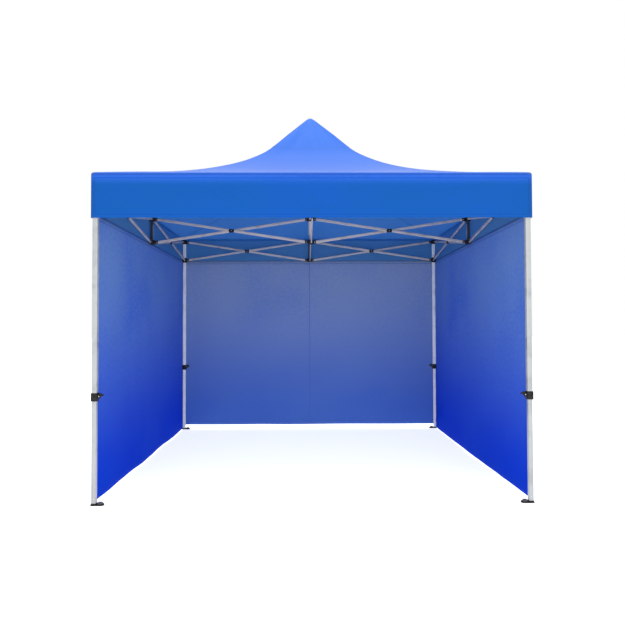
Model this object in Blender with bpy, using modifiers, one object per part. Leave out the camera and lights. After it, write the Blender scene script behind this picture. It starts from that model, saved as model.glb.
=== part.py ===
"""Pop-up canopy, 3 m x 3 m: a folding scissor frame on four telescopic legs, a peaked
roof with a valance, and three side walls. Metres, +Z up, origin on the floor below the
centre, front towards -Y."""

import math

import bmesh
import bpy
from mathutils import Matrix, Vector

# Driving dimensions.
LEG_AXIS = 1.4575  # from the centre to a leg's axis, along X and along Y
PIVOT_INSET = 0.040  # from a leg's, bracket's or hub's axis to its pivots
TOP_PIVOT_Z = 2.175
BOTTOM_PIVOT_Z = 1.965
PEAK_Z = 3.130
EAVE_Z = 2.205
VALANCE_BOTTOM_Z = 1.915
WALL_TOP_Z = 1.960
WALL_BOTTOM_Z = 0.050

# Scissor bars: rectangular tube, two to a truss, one each side of its middle plane.
BAR_WIDTH = 0.012
BAR_HEIGHT = 0.024
BAR_WALL = 0.0012
BAR_OFFSET = 0.007  # from the truss plane to the middle of a bar
BAR_OVERHANG = 0.010  # past the end pivots
BAR_SPAN = LEG_AXIS - 2 * PIVOT_INSET
BAR_RISE = TOP_PIVOT_Z - BOTTOM_PIVOT_Z
BAR_LENGTH = math.hypot(BAR_SPAN, BAR_RISE)
BAR_TILT = math.atan2(BAR_RISE, BAR_SPAN)

# Pivots.
RIVET_RADIUS = 0.003
RIVET_HOLE_RADIUS = 0.0038
RIVET_HEAD_RADIUS = 0.006
RIVET_HEAD_DEPTH = 0.0018
RIVET_SIDES = 6

# Moulded brackets.
BRACKET_HALF = 0.0205  # half the width of every bracket body
CLEVIS_HALF_GAP = 0.0064
CLEVIS_HALF_WIDTH = 0.0093
CLEVIS_HALF_HEIGHT = 0.013
CLEVIS_REACH = 0.011  # past the pivot
CLEVIS_SLOT_START = 0.023  # from the bracket's axis
OVERLAP = 0.001  # how far joined shapes run into each other
PAST = 0.010  # how far a cutter runs past a face

# Legs.
LEG_HALF = 0.0175
LEG_INNER_HALF = 0.0160
LEG_BOTTOM_Z = 0.700
LEG_TOP_Z = 2.193
CORNER_BOTTOM_Z = 2.150
CORNER_TOP_Z = 2.197
LOWER_LEG_HALF = 0.0145
LOWER_LEG_INNER_HALF = 0.0130
LOWER_LEG_TOP_Z = 1.100
COLLAR_BOTTOM_Z = 0.690
COLLAR_TOP_Z = 0.745
COLLAR_THROAT_HALF = 0.0149

# Feet.
FOOT_THICKNESS = 0.010
FOOT_HALF_WIDTH = 0.0205
FOOT_OUTER = -0.0205
FOOT_INNER = 0.066
STAKE_HOLE_X = 0.043
STAKE_HOLE_RADIUS = 0.005

# Slider and its release pin.
SLIDER_BELOW = 0.030
SLIDER_ABOVE = 0.025
SLIDER_BORE_HALF = 0.0180
PIN_SIDE = -0.0115
PIN_Z = -0.008
PIN_RADIUS = 0.0025
PIN_BORE_RADIUS = 0.0031
PIN_TIP_X = 0.0185
PIN_BOSS_HALF = 0.0065
PIN_BOSS_X = 0.0305
PIN_KNOB_X = 0.0312
PIN_KNOB_DEPTH = 0.006
PIN_KNOB_RADIUS = 0.006

# Lock lever on the collar.
LEVER_PIVOT_X = 0.0290
LEVER_PIVOT_Z = 0.722
LEVER_HALF_WIDTH = 0.0058
LEVER_EAR_HALF_GAP = 0.0064
LEVER_EAR_HALF_WIDTH = 0.0094
LEVER_RIVET_RADIUS = 0.0020
LEVER_HOLE_RADIUS = 0.0026

# Centre hubs and mast.
MID_HALF_HEIGHT = 0.018
HUB_HALF_HEIGHT = 0.020
SLEEVE_BOTTOM_Z = 2.030
SLEEVE_RADIUS = 0.019
SLEEVE_BORE_RADIUS = 0.015
SOCKET_BORE_RADIUS = 0.0146
SOCKET_FLOOR = 0.005
MAST_RADIUS = 0.014
MAST_INNER_RADIUS = 0.0124
MAST_TOP_Z = 2.950
TIP_RADIUS = 0.0115
TIP_BOTTOM_Z = 2.740
TIP_CAP_BOTTOM_Z = 3.062
TIP_TOP_Z = 3.104
TIP_CAP_RADIUS = 0.0142
FIT_GAP = 0.0003
ROUND_SIDES = 16

# Covers: the walls hang just outside the legs, and the valance just outside the walls.
WALL_OUTSET = 0.0215
WALL_THICKNESS = 0.0012
WALL_CORNER_GAP = 0.001
ROOF_OUTSET = 0.025
ROOF_THICKNESS = 0.0015
ROOF_RINGS = 8
ROOF_SLACK = 0.58  # share of the rise that bends upwards
ROOF_BEND = 2.6

SIDES = {"front": (0, -1), "back": (0, 1), "left": (-1, 0), "right": (1, 0)}

COLOURS = {
    "frame": ((0.60, 0.60, 0.60), 0.35, 0.6),
    "plastic": ((0.02, 0.02, 0.02), 0.45, 0.0),
    "roof": ((0.03, 0.16, 0.72), 0.75, 0.0),
    "wall": ((0.02, 0.09, 0.62), 0.80, 0.0),
}


def box(low, high):
    shape = bmesh.new()
    bmesh.ops.create_cube(shape, size=1)
    low, high = Vector(low), Vector(high)
    bmesh.ops.scale(shape, vec=high - low, verts=shape.verts)
    bmesh.ops.translate(shape, vec=(low + high) / 2, verts=shape.verts)
    return shape


def square(half, low_z, high_z, x=0.0):
    return box((x - half, -half, low_z), (x + half, half, high_z))


def rod(start, end, radius, sides):
    start, end = Vector(start), Vector(end)
    shape = bmesh.new()
    bmesh.ops.create_cone(
        shape, cap_ends=True, segments=sides, radius1=radius, radius2=radius, depth=(end - start).length
    )
    turn = Vector((0, 0, 1)).rotation_difference(end - start).to_matrix().to_4x4()
    bmesh.ops.transform(shape, matrix=Matrix.Translation((start + end) / 2) @ turn, verts=shape.verts)
    return shape


def outline(points, half_width):
    """A flat outline in the XZ plane, as thick as the width along Y."""
    shape = bmesh.new()
    corners = [shape.verts.new((x, -half_width, z)) for x, z in points]
    face = shape.faces.new(corners)
    side = bmesh.ops.extrude_face_region(shape, geom=[face])["geom"]
    moved = [item for item in side if isinstance(item, bmesh.types.BMVert)]
    bmesh.ops.translate(shape, vec=(0, 2 * half_width, 0), verts=moved)
    bmesh.ops.recalc_face_normals(shape, faces=shape.faces)
    return shape


def mesh_of(shapes, matrix=None):
    """One mesh of several closed shapes."""
    whole = bmesh.new()
    for shape in shapes:
        part = bpy.data.meshes.new("part")
        shape.to_mesh(part)
        shape.free()
        whole.from_mesh(part)
        bpy.data.meshes.remove(part)
    if matrix:
        bmesh.ops.transform(whole, matrix=matrix, verts=whole.verts)
    mesh = bpy.data.meshes.new("shape")
    whole.to_mesh(mesh)
    whole.free()
    return mesh


def built(steps, matrix=None):
    """The mesh left after each (operation, shapes) step on the first one."""
    first = bpy.data.objects.new("body", mesh_of(steps[0][1]))
    tools = [first]
    bpy.context.scene.collection.objects.link(first)
    for operation, shapes in steps[1:]:
        tool = bpy.data.objects.new("tool", mesh_of(shapes))
        bpy.context.scene.collection.objects.link(tool)
        modifier = first.modifiers.new(operation, "BOOLEAN")
        modifier.operation = operation
        modifier.object = tool
        tools.append(tool)
    bpy.context.view_layer.update()
    graph = bpy.context.evaluated_depsgraph_get()
    mesh = bpy.data.meshes.new_from_object(first.evaluated_get(graph))
    for tool in tools:
        bpy.data.objects.remove(tool)
    if matrix:
        mesh.transform(matrix)
    return mesh


def material(name):
    colour, roughness, metallic = COLOURS[name]
    made = bpy.data.materials.get(name) or bpy.data.materials.new(name)
    made.use_nodes = True
    shader = made.node_tree.nodes["Principled BSDF"]
    shader.inputs["Base Color"].default_value = (*colour, 1)
    shader.inputs["Roughness"].default_value = roughness
    shader.inputs["Metallic"].default_value = metallic
    return made


def piece(name, mesh, matrix, finish):
    """One named sub-part; copies may share their mesh."""
    made = bpy.data.objects.new(name, mesh)
    canopy.objects.link(made)
    if not mesh.materials:
        mesh.materials.append(material(finish))
    made.matrix_world = matrix
    return made


def frame_of(origin, x_axis, y_axis):
    """The matrix that takes local X and Y to these level directions."""
    x_axis, y_axis = (Vector((*axis, 0)) for axis in (x_axis, y_axis))
    turn = Matrix((x_axis, y_axis, Vector((0, 0, 1)))).transposed().to_4x4()
    return Matrix.Translation(origin) @ turn


def cross_frame(side):
    """Local X runs from the centre out to the side."""
    x, y = SIDES[side]
    return frame_of((0, 0, 0), (x, y), (-y, x))


def half_frame(side, other):
    """Local X runs from the side's middle to its corner with the other side, local Y outwards."""
    out = Vector((*SIDES[side], 0))
    return frame_of(out * LEG_AXIS, SIDES[other], SIDES[side])


def corner_frame(front_or_back, left_or_right):
    """On the leg's axis, with local X and Y both pointing inwards."""
    x, y = SIDES[left_or_right][0], SIDES[front_or_back][1]
    return frame_of((x * LEG_AXIS, y * LEG_AXIS, 0), (-x, 0), (0, -y))


# Clevises: an arm holds one bar between two ears, on a rivet across them.
def arm_parts(angle, side, z=0.0):
    """The block, the slot and the rivet of an arm, for a bar that much to the left of its plane."""
    reach = PIVOT_INSET + CLEVIS_REACH
    block = box(
        (BRACKET_HALF - OVERLAP, side - CLEVIS_HALF_WIDTH, z - CLEVIS_HALF_HEIGHT),
        (reach, side + CLEVIS_HALF_WIDTH, z + CLEVIS_HALF_HEIGHT),
    )
    slot = box(
        (CLEVIS_SLOT_START, side - CLEVIS_HALF_GAP, z - CLEVIS_HALF_HEIGHT - PAST),
        (reach + PAST, side + CLEVIS_HALF_GAP, z + CLEVIS_HALF_HEIGHT + PAST),
    )
    middle_of_ear = (CLEVIS_HALF_GAP + CLEVIS_HALF_WIDTH) / 2
    rivet = rod(
        (PIVOT_INSET, side - middle_of_ear, z),
        (PIVOT_INSET, side + middle_of_ear, z),
        RIVET_RADIUS,
        RIVET_SIDES,
    )
    turn = Matrix.Rotation(math.radians(angle), 4, "Z")
    for shape in (block, slot, rivet):
        bmesh.ops.transform(shape, matrix=turn, verts=shape.verts)
    return block, slot, rivet


def bracket(body, arms, bores=(), extras=()):
    """A moulded bracket: its body, its arms as (angle, side), and what is bored through it."""
    blocks, slots, rivets = zip(*(arm_parts(*arm) for arm in arms))
    return built(
        [
            ("BODY", [body]),
            ("UNION", [*blocks, *extras]),
            ("DIFFERENCE", [*slots, *bores]),
            ("UNION", list(rivets)),
        ]
    )


# Bars. A falling bar has its inner end up and its origin on that pivot; a rising bar has
# its outer end up and its origin on the crossing, where it carries the crossing rivet.
def bar_mesh(first_end, side, crossing_rivet):
    half, inner = Vector((BAR_WIDTH, BAR_HEIGHT)) / 2, BAR_WIDTH / 2 - BAR_WALL
    ends = first_end - BAR_OVERHANG, first_end + BAR_LENGTH + BAR_OVERHANG
    tube = box((ends[0], side - half.x, -half.y), (ends[1], side + half.x, half.y))
    bore = box(
        (ends[0] - PAST, side - inner, BAR_WALL - half.y), (ends[1] + PAST, side + inner, half.y - BAR_WALL)
    )
    at = [first_end, first_end + BAR_LENGTH]
    if not crossing_rivet:
        at.append(first_end + BAR_LENGTH / 2)
    holes = [
        rod((x, side - BAR_WIDTH, 0), (x, side + BAR_WIDTH, 0), RIVET_HOLE_RADIUS, RIVET_SIDES) for x in at
    ]
    steps = [("BODY", [tube]), ("DIFFERENCE", [bore]), ("DIFFERENCE", holes)]
    if crossing_rivet:
        near_wall = side - half.x + BAR_WALL / 2
        far_face = -(BAR_OFFSET + half.x)
        head_start = far_face - FIT_GAP
        shank = rod((0, near_wall, 0), (0, head_start - OVERLAP, 0), RIVET_RADIUS, RIVET_SIDES)
        head = rod((0, head_start, 0), (0, head_start - RIVET_HEAD_DEPTH, 0), RIVET_HEAD_RADIUS, RIVET_SIDES)
        steps += [("UNION", [shank]), ("UNION", [head])]
    return built(steps)


def add_bars():
    falling = bar_mesh(0.0, -BAR_OFFSET, crossing_rivet=False)
    rising = bar_mesh(-BAR_LENGTH / 2, BAR_OFFSET, crossing_rivet=True)
    middle_z = (TOP_PIVOT_Z + BOTTOM_PIVOT_Z) / 2
    down = Matrix.Translation((PIVOT_INSET, 0, TOP_PIVOT_Z)) @ Matrix.Rotation(BAR_TILT, 4, "Y")
    up = Matrix.Translation((PIVOT_INSET + BAR_SPAN / 2, 0, middle_z)) @ Matrix.Rotation(-BAR_TILT, 4, "Y")
    for side in SIDES:
        piece(f"{side}_inner_bar_to_top_hub", falling, cross_frame(side) @ down, "frame")
        piece(f"{side}_inner_bar_to_bottom_hub", rising, cross_frame(side) @ up, "frame")
        others = ("left", "right") if side in ("front", "back") else ("front", "back")
        for other in others:
            half = half_frame(side, other)
            piece(f"{side}_{other}_bar_to_slider", falling, half @ down, "frame")
            piece(f"{side}_{other}_bar_to_corner", rising, half @ up, "frame")


def add_side_brackets():
    """A top and a bottom bracket in the middle of each side, each with three arms."""
    body = square(BRACKET_HALF, -MID_HALF_HEIGHT, MID_HALF_HEIGHT)
    body_below = body.copy()
    # Local X points outwards here, so the arms along the side are at 90 and -90 degrees.
    top = bracket(body, [(180, -BAR_OFFSET), (90, BAR_OFFSET), (-90, -BAR_OFFSET)])
    bottom = bracket(body_below, [(180, BAR_OFFSET), (90, -BAR_OFFSET), (-90, BAR_OFFSET)])
    for side in SIDES:
        for name, mesh, z in (("top", top, TOP_PIVOT_Z), ("bottom", bottom, BOTTOM_PIVOT_Z)):
            at = cross_frame(side) @ Matrix.Translation((LEG_AXIS, 0, z))
            piece(f"{side}_{name}_bracket", mesh, at, "plastic")


def add_hubs_and_mast():
    sleeve_bottom = SLEEVE_BOTTOM_Z - TOP_PIVOT_Z
    sleeve = rod((0, 0, sleeve_bottom), (0, 0, 0), SLEEVE_RADIUS, ROUND_SIDES)
    bore = rod(
        (0, 0, sleeve_bottom - PAST), (0, 0, HUB_HALF_HEIGHT + PAST), SLEEVE_BORE_RADIUS, ROUND_SIDES
    )
    top = bracket(
        square(BRACKET_HALF, -HUB_HALF_HEIGHT, HUB_HALF_HEIGHT),
        [(angle, -BAR_OFFSET) for angle in (0, 90, 180, 270)],
        bores=[bore],
        extras=[sleeve],
    )
    piece("centre_top_hub", top, Matrix.Translation((0, 0, TOP_PIVOT_Z)), "plastic")

    socket_floor = SOCKET_FLOOR - HUB_HALF_HEIGHT
    socket = rod((0, 0, socket_floor), (0, 0, HUB_HALF_HEIGHT + PAST), SOCKET_BORE_RADIUS, ROUND_SIDES)
    bottom = bracket(
        square(BRACKET_HALF, -HUB_HALF_HEIGHT, HUB_HALF_HEIGHT),
        [(angle, BAR_OFFSET) for angle in (0, 90, 180, 270)],
        bores=[socket],
    )
    piece("centre_bottom_hub", bottom, Matrix.Translation((0, 0, BOTTOM_PIVOT_Z)), "plastic")

    foot_z = BOTTOM_PIVOT_Z + socket_floor + FIT_GAP
    length = MAST_TOP_Z - foot_z
    mast = built(
        [
            ("BODY", [rod((0, 0, 0), (0, 0, length), MAST_RADIUS, ROUND_SIDES)]),
            ("DIFFERENCE", [rod((0, 0, -PAST), (0, 0, length + PAST), MAST_INNER_RADIUS, ROUND_SIDES)]),
        ]
    )
    piece("mast_tube", mast, Matrix.Translation((0, 0, foot_z)), "frame")
    tip = built(
        [
            ("BODY", [rod((0, 0, TIP_BOTTOM_Z - TIP_TOP_Z), (0, 0, -OVERLAP), TIP_RADIUS, ROUND_SIDES)]),
            (
                "UNION",
                [rod((0, 0, TIP_CAP_BOTTOM_Z - TIP_TOP_Z), (0, 0, 0), TIP_CAP_RADIUS, ROUND_SIDES)],
            ),
        ]
    )
    piece("mast_tip", tip, Matrix.Translation((0, 0, TIP_TOP_Z)), "plastic")


def upper_leg_mesh():
    """The square tube with its corner bracket on top and the lock collar at its lower end."""
    tube = square(LEG_HALF, LEG_BOTTOM_Z, LEG_TOP_Z)
    corner = square(BRACKET_HALF, CORNER_BOTTOM_Z, CORNER_TOP_Z)
    collar = square(BRACKET_HALF, COLLAR_BOTTOM_Z, COLLAR_TOP_Z)
    ears = [
        box(
            (BRACKET_HALF - OVERLAP, min(near, far), LEVER_PIVOT_Z - 0.014),
            (LEVER_PIVOT_X + 0.006, max(near, far), LEVER_PIVOT_Z + 0.010),
        )
        for near, far in (
            (LEVER_EAR_HALF_GAP, LEVER_EAR_HALF_WIDTH),
            (-LEVER_EAR_HALF_GAP, -LEVER_EAR_HALF_WIDTH),
        )
    ]
    # Both bars that meet here are the outer ones of their trusses.
    arms = [arm_parts(0, -BAR_OFFSET, TOP_PIVOT_Z), arm_parts(90, BAR_OFFSET, TOP_PIVOT_Z)]
    blocks, slots, rivets = zip(*arms)
    middle_of_ear = (LEVER_EAR_HALF_GAP + LEVER_EAR_HALF_WIDTH) / 2
    lever_rivet = rod(
        (LEVER_PIVOT_X, -middle_of_ear, LEVER_PIVOT_Z),
        (LEVER_PIVOT_X, middle_of_ear, LEVER_PIVOT_Z),
        LEVER_RIVET_RADIUS,
        RIVET_SIDES,
    )
    bore = square(LEG_INNER_HALF, LEG_BOTTOM_Z, LEG_TOP_Z - OVERLAP)
    throat = square(COLLAR_THROAT_HALF, COLLAR_BOTTOM_Z - PAST, LEG_BOTTOM_Z + PAST)
    to_pivot = Matrix.Translation((-PIVOT_INSET, 0, -TOP_PIVOT_Z))
    return built(
        [
            ("BODY", [tube]),
            ("UNION", [corner, collar]),
            ("UNION", [*blocks, *ears]),
            ("DIFFERENCE", [*slots]),
            ("DIFFERENCE", [bore]),
            ("DIFFERENCE", [throat]),
            ("UNION", [*rivets, lever_rivet]),
        ],
        to_pivot,
    )


def lower_leg_mesh():
    """The inner tube on its foot, a flat pad with a rounded inner end and a stake hole."""
    tube = square(LOWER_LEG_HALF, FOOT_THICKNESS - OVERLAP, LOWER_LEG_TOP_Z)
    bore = square(LOWER_LEG_INNER_HALF, FOOT_THICKNESS + OVERLAP, LOWER_LEG_TOP_Z + PAST)
    round_centre = FOOT_INNER - FOOT_HALF_WIDTH
    plate = box((FOOT_OUTER, -FOOT_HALF_WIDTH, 0), (round_centre, FOOT_HALF_WIDTH, FOOT_THICKNESS))
    end = rod((round_centre, 0, 0), (round_centre, 0, FOOT_THICKNESS), FOOT_HALF_WIDTH, ROUND_SIDES)
    hole = rod(
        (STAKE_HOLE_X, 0, -PAST), (STAKE_HOLE_X, 0, FOOT_THICKNESS + PAST), STAKE_HOLE_RADIUS, ROUND_SIDES // 2
    )
    return built(
        [("BODY", [plate]), ("UNION", [end]), ("UNION", [tube]), ("DIFFERENCE", [bore, hole])]
    )


def lever_mesh():
    """A snap lever whose grip points inwards and up."""
    points = [
        (-0.005, -0.004),
        (0.000, -0.008),
        (0.008, -0.007),
        (0.016, 0.002),
        (0.031, 0.004),
        (0.032, 0.009),
        (0.018, 0.017),
        (0.010, 0.021),
        (-0.004, 0.021),
        (-0.007, 0.012),
    ]
    hole = rod((0, -PAST, 0), (0, PAST, 0), LEVER_HOLE_RADIUS, RIVET_SIDES)
    return built([("BODY", [outline(points, LEVER_HALF_WIDTH)]), ("DIFFERENCE", [hole])])


def slider_mesh():
    body = square(BRACKET_HALF, -SLIDER_BELOW, SLIDER_ABOVE)
    boss = box(
        (BRACKET_HALF - OVERLAP, PIN_SIDE - PIN_BOSS_HALF, PIN_Z - PIN_BOSS_HALF),
        (PIN_BOSS_X, PIN_SIDE + PIN_BOSS_HALF, PIN_Z + PIN_BOSS_HALF),
    )
    leg_bore = square(SLIDER_BORE_HALF, -SLIDER_BELOW - PAST, SLIDER_ABOVE + PAST)
    pin_bore = rod(
        (BRACKET_HALF - PAST, PIN_SIDE, PIN_Z),
        (PIN_BOSS_X + PAST, PIN_SIDE, PIN_Z),
        PIN_BORE_RADIUS,
        RIVET_SIDES,
    )
    # Both bars that meet here are the inner ones of their trusses.
    arms = [(0, BAR_OFFSET), (90, -BAR_OFFSET)]
    mesh = bracket(body, arms, bores=[leg_bore, pin_bore], extras=[boss])
    mesh.transform(Matrix.Translation((-PIVOT_INSET, 0, 0)))
    return mesh


def pin_mesh():
    shaft = rod((PIN_TIP_X, 0, 0), (PIN_KNOB_X + OVERLAP, 0, 0), PIN_RADIUS, RIVET_SIDES)
    knob = rod((PIN_KNOB_X, 0, 0), (PIN_KNOB_X + PIN_KNOB_DEPTH, 0, 0), PIN_KNOB_RADIUS, 8)
    return built([("BODY", [shaft]), ("UNION", [knob])])


def add_legs():
    upper, lower, lever = upper_leg_mesh(), lower_leg_mesh(), lever_mesh()
    slider, pin = slider_mesh(), pin_mesh()
    at_top = Matrix.Translation((PIVOT_INSET, 0, TOP_PIVOT_Z))
    at_lever = Matrix.Translation((LEVER_PIVOT_X, 0, LEVER_PIVOT_Z))
    at_slider = Matrix.Translation((PIVOT_INSET, 0, BOTTOM_PIVOT_Z))
    at_pin = Matrix.Translation((0, PIN_SIDE, BOTTOM_PIVOT_Z + PIN_Z))
    for front_or_back in ("front", "back"):
        for left_or_right in ("left", "right"):
            corner = corner_frame(front_or_back, left_or_right)
            name = f"{front_or_back}_{left_or_right}"
            piece(f"{name}_upper_leg", upper, corner @ at_top, "frame")
            piece(f"{name}_lower_leg", lower, corner, "frame")
            piece(f"{name}_lock_lever", lever, corner @ at_lever, "plastic")
            piece(f"{name}_slider", slider, corner @ at_slider, "plastic")
            piece(f"{name}_release_pin", pin, corner @ at_pin, "plastic")


def roof_height(share):
    """Height at a share of the way from the eave to the peak: concave, steepest at the peak."""
    rise = (1 - ROOF_SLACK) * share + ROOF_SLACK * share**ROOF_BEND
    return EAVE_Z + (PEAK_Z - EAVE_Z) * rise


def add_roof():
    """A four-sided turned profile from the peak down to the valance's lower edge."""
    half = LEG_AXIS + ROOF_OUTSET
    profile = bmesh.new()
    shares = [1 - ring / ROOF_RINGS for ring in range(ROOF_RINGS + 1)]
    points = [(half * (1 - share), roof_height(share)) for share in shares]
    points.append((half, VALANCE_BOTTOM_Z))
    corners = [profile.verts.new((distance * math.sqrt(2), 0, z)) for distance, z in points]
    for upper, lower in zip(corners, corners[1:]):
        profile.edges.new((upper, lower))
    mesh = bpy.data.meshes.new("roof_cover")
    profile.to_mesh(mesh)
    profile.free()
    roof = piece("roof_cover", mesh, Matrix.Rotation(math.radians(45), 4, "Z"), "roof")
    turn = roof.modifiers.new("four sides", "SCREW")
    turn.steps = turn.render_steps = len(SIDES)
    turn.use_merge_vertices = True
    turn.merge_threshold = 0.0001
    skin = roof.modifiers.new("cloth", "SOLIDIFY")
    skin.thickness = ROOF_THICKNESS
    skin.offset = -1
    skin.use_even_offset = True


def add_walls():
    """Three flat walls; the side walls stop short of the back wall."""
    near = LEG_AXIS + WALL_OUTSET
    far = near + WALL_THICKNESS
    reach = near - WALL_CORNER_GAP
    back = mesh_of([box((-reach, near, WALL_BOTTOM_Z), (reach, far, WALL_TOP_Z))])
    piece("back_wall", back, Matrix.Identity(4), "wall")
    for name, sign in (("left", -1), ("right", 1)):
        low_x, high_x = sorted((sign * near, sign * far))
        wall = mesh_of([box((low_x, -reach, WALL_BOTTOM_Z), (high_x, reach, WALL_TOP_Z))])
        piece(f"{name}_wall", wall, Matrix.Identity(4), "wall")


for old in list(bpy.data.objects):
    bpy.data.objects.remove(old)
canopy = bpy.data.collections.new("pop_up_canopy")
bpy.context.scene.collection.children.link(canopy)

add_bars()
add_side_brackets()
add_hubs_and_mast()
add_legs()
add_roof()
add_walls()
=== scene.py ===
import math

import bmesh
import bpy
from mathutils import Matrix, Vector, noise


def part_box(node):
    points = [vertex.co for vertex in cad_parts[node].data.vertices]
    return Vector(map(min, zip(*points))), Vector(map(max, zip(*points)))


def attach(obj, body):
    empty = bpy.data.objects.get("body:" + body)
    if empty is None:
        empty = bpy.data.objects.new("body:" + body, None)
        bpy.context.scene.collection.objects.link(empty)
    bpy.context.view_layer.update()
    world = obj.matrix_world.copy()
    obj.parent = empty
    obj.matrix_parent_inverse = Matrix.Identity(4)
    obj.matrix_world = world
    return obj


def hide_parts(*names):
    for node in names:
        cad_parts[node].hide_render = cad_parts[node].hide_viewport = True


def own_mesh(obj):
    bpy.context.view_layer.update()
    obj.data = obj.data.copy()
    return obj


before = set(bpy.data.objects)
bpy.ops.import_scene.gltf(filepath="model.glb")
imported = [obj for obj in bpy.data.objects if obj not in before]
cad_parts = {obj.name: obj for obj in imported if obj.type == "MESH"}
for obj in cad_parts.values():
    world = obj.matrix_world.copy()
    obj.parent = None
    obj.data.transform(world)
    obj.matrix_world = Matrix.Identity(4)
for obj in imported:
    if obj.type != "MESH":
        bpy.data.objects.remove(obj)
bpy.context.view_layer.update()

scene = bpy.context.scene

# Where things are, in metres.
roofLow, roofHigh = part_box("roof_cover")
eaveOut = roofHigh.x  # outside of the valance
legInset = 0.025
legAxis = eaveOut - legInset
valanceZ = roofLow.z
eaveZ = 2.226  # the cloth stands a little proud of the corner brackets
topPivotZ = 2.175
bottomPivotZ = 1.965
pivotInset = 0.040  # from a bracket's axis to the pivots in its arms
barSpan = legAxis - 2 * pivotInset
barRise = topPivotZ - bottomPivotZ
barLength = math.hypot(barSpan, barRise)
barTilt = math.atan2(barRise, barSpan)
barOffset = 0.007  # each bar lies this far from the middle of its truss

outward = {"front": (0, -1), "back": (0, 1), "left": (-1, 0), "right": (1, 0)}
corners = [(a, b) for a in ("front", "back") for b in ("left", "right")]


def neighbours(side):
    return ("left", "right") if side in ("front", "back") else ("front", "back")


# Shader maths: a socket that takes part in Python expressions.
class Wire:
    def __init__(self, tree, socket):
        self.tree, self.socket = tree, socket

    def add(self, kind, settings=None, sockets=None, output=0):
        # Any node: its settings first, then the values or links of its sockets.
        made = self.tree.nodes.new(kind)
        for name, value in (settings or {}).items():
            setattr(made, name, value)
        for name, value in (sockets or {}).items():
            if isinstance(value, Wire):
                self.tree.links.new(value.socket, made.inputs[name])
            else:
                made.inputs[name].default_value = value
        return Wire(self.tree, made.outputs[output])

    def maths(self, operation, *values):
        return self.add("ShaderNodeMath", {"operation": operation}, dict(enumerate(values)))

    def __add__(self, other):
        return self.maths("ADD", self, other)

    def __radd__(self, other):
        return self.maths("ADD", other, self)

    def __sub__(self, other):
        return self.maths("SUBTRACT", self, other)

    def __rsub__(self, other):
        return self.maths("SUBTRACT", other, self)

    def __mul__(self, other):
        return self.maths("MULTIPLY", self, other)

    def __rmul__(self, other):
        return self.maths("MULTIPLY", other, self)

    def __abs__(self):
        return self.maths("ABSOLUTE", self)

    def sin(self):
        return self.maths("SINE", self)

    def least(self, other):
        return self.maths("MINIMUM", self, other)

    def most(self, other):
        return self.maths("MAXIMUM", self, other)

    def below(self, edge):
        return self.maths("LESS_THAN", self, edge)

    def ramp(self, low, high):  # 0 below low, 1 above high, smooth between
        return self.add(
            "ShaderNodeMapRange",
            {"interpolation_type": "SMOOTHSTEP"},
            {"Value": self, "From Min": low, "From Max": high},
        )

    def noise(self, scale, detail=2.0, roughness=0.5):
        sockets = {"Vector": self, "Scale": scale, "Detail": detail, "Roughness": roughness}
        return self.add("ShaderNodeTexNoise", None, sockets)

    def mix(self, first, second):  # self is the factor, first and second are colours
        settings = {"data_type": "RGBA", "clamp_factor": True}
        return self.add("ShaderNodeMix", settings, {0: self, 6: first, 7: second}, 2)

    def bump(self, strength, distance, below=None):
        sockets = {"Height": self, "Strength": strength, "Distance": distance}
        if below:
            sockets["Normal"] = below
        return self.add("ShaderNodeBump", None, sockets)

    def flatPlace(self, layer):  # a UV map, and its two numbers
        place = self.add("ShaderNodeUVMap", {"uv_map": layer})
        split = self.add("ShaderNodeSeparateXYZ", None, {"Vector": place})
        return place, split, Wire(self.tree, split.socket.node.outputs[1])

    def objectPlace(self):
        return self.add("ShaderNodeTexCoord", None, None, 3)

    def pointiness(self):
        return self.add("ShaderNodeNewGeometry", None, None, 7)


def newMaterial(name, constants):
    # A Principled material with its constants on the shader's own sockets.
    made = bpy.data.materials.new(name)
    made.use_nodes = True
    shader = made.node_tree.nodes["Principled BSDF"]
    for socket, value in constants.items():
        shader.inputs[socket].default_value = value
    return made, shader, Wire(made.node_tree, None)


def feed(shader, links):
    for socket, wire in links.items():
        wire.tree.links.new(wire.socket, shader.inputs[socket])


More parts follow.
